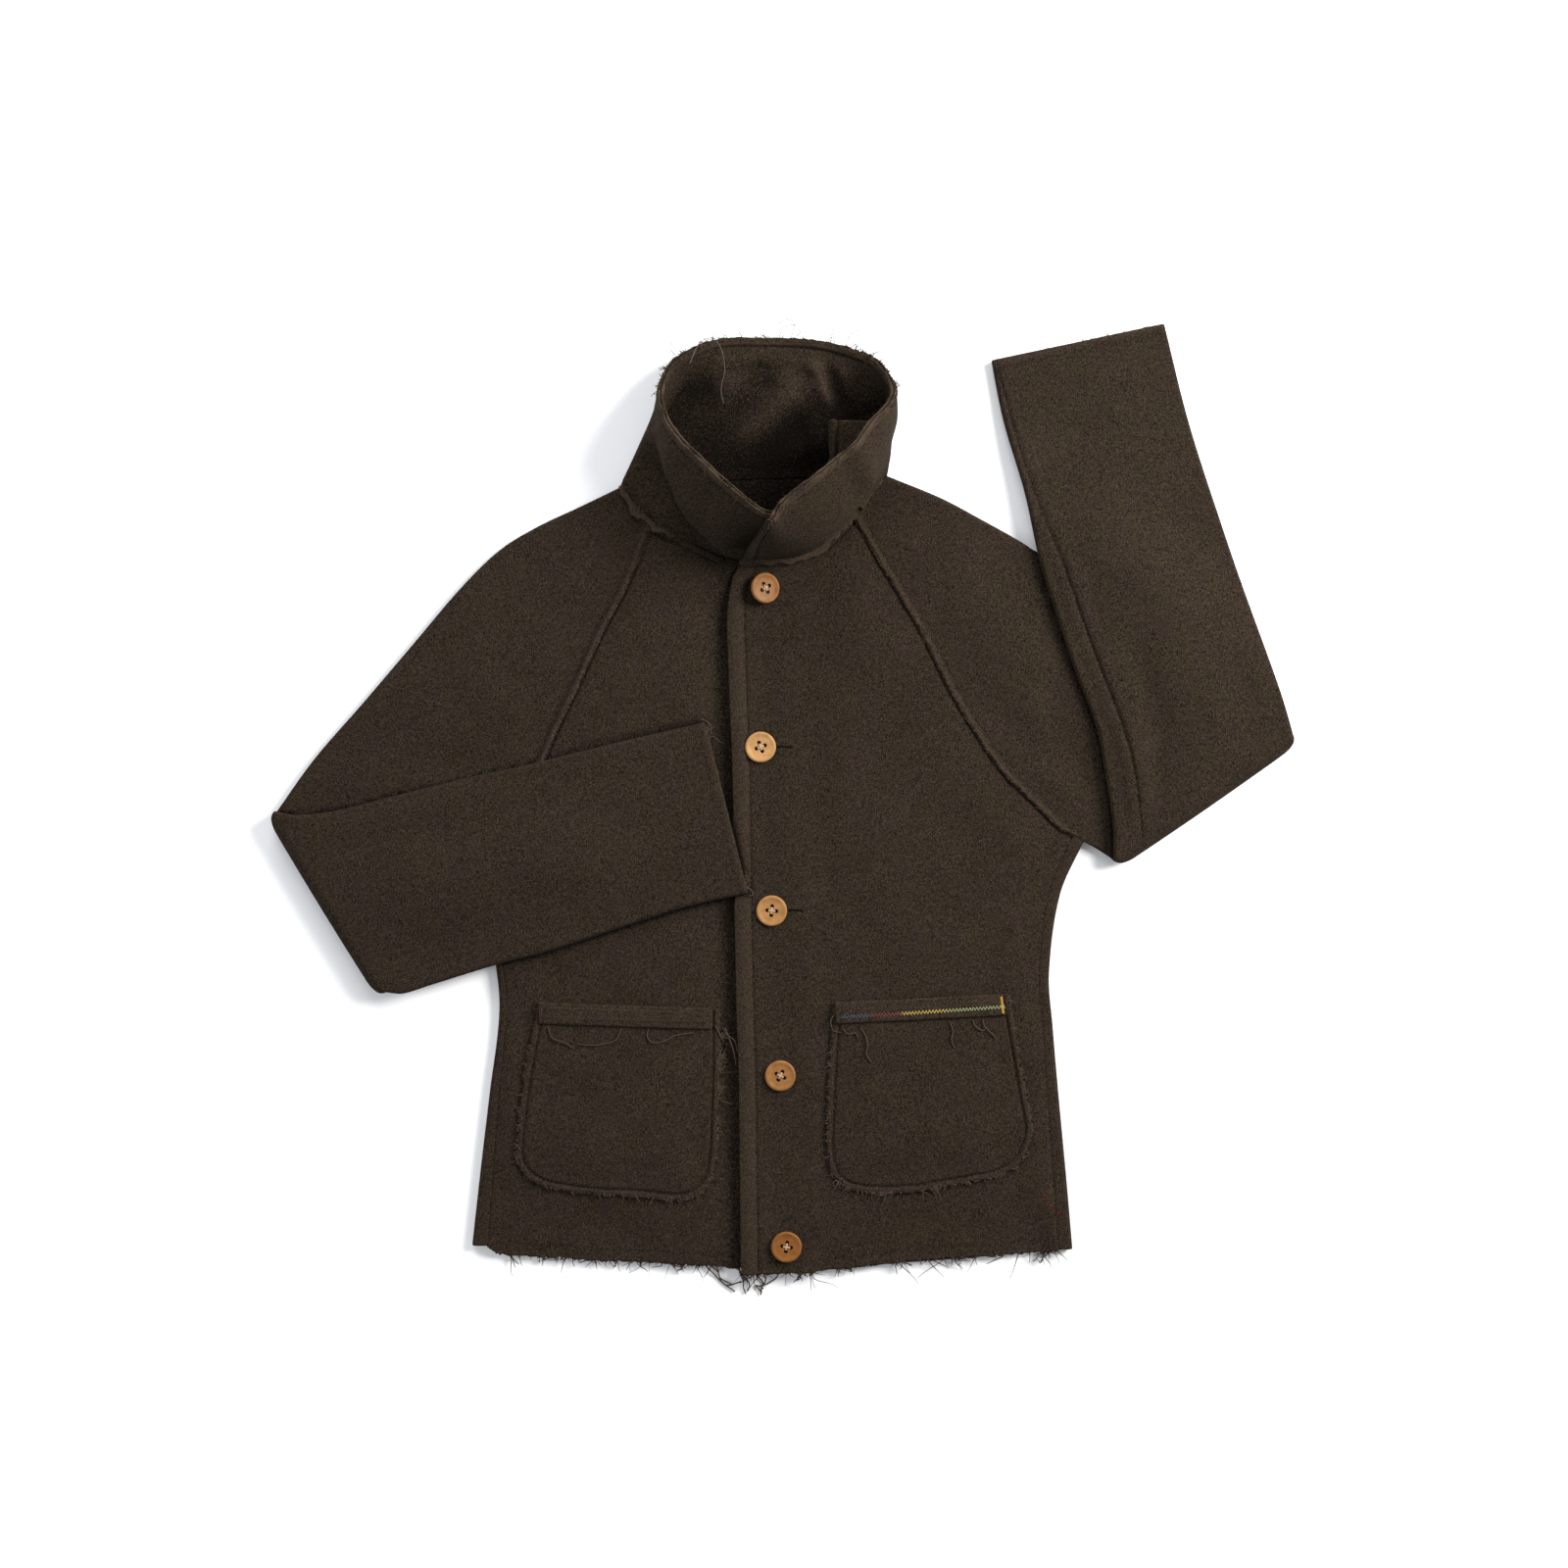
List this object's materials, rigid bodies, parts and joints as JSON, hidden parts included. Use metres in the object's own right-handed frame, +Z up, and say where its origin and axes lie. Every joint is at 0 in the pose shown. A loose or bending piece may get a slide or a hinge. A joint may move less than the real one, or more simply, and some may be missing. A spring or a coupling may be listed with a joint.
{
  "type": "wool coat",
  "caption": "Wool coat laid flat on its back, raglan sleeves folded over, tall funnel collar standing open, buttoned front and two patch pockets.",
  "frame": {"origin": "on the surface the coat lies on, below the middle of its bounding box", "axes": "+Z up from the surface, +Y towards the collar, +X towards the wearer's left sleeve"},
  "size_m": [0.8358, 0.772, 0.0887],
  "materials": {
    "wool": "matte felted wool",
    "collar_wool": "matte felted wool",
    "horn": "satin horn-like"
  },
  "bodies": {
    "root": {"back": "wool", "right_front": "wool", "left_front": "wool", "right_sleeve": "wool", "left_sleeve": "wool", "collar": "collar_wool", "collar_facing": "collar_wool", "collar_tab": "collar_wool", "right_pocket": "wool", "left_pocket": "wool", "right_pocket_band": "wool", "left_pocket_band": "wool", "button_1": "horn", "button_2": "horn", "button_3": "horn", "button_4": "horn", "button_5": "horn"}
  },
  "joints": []
}
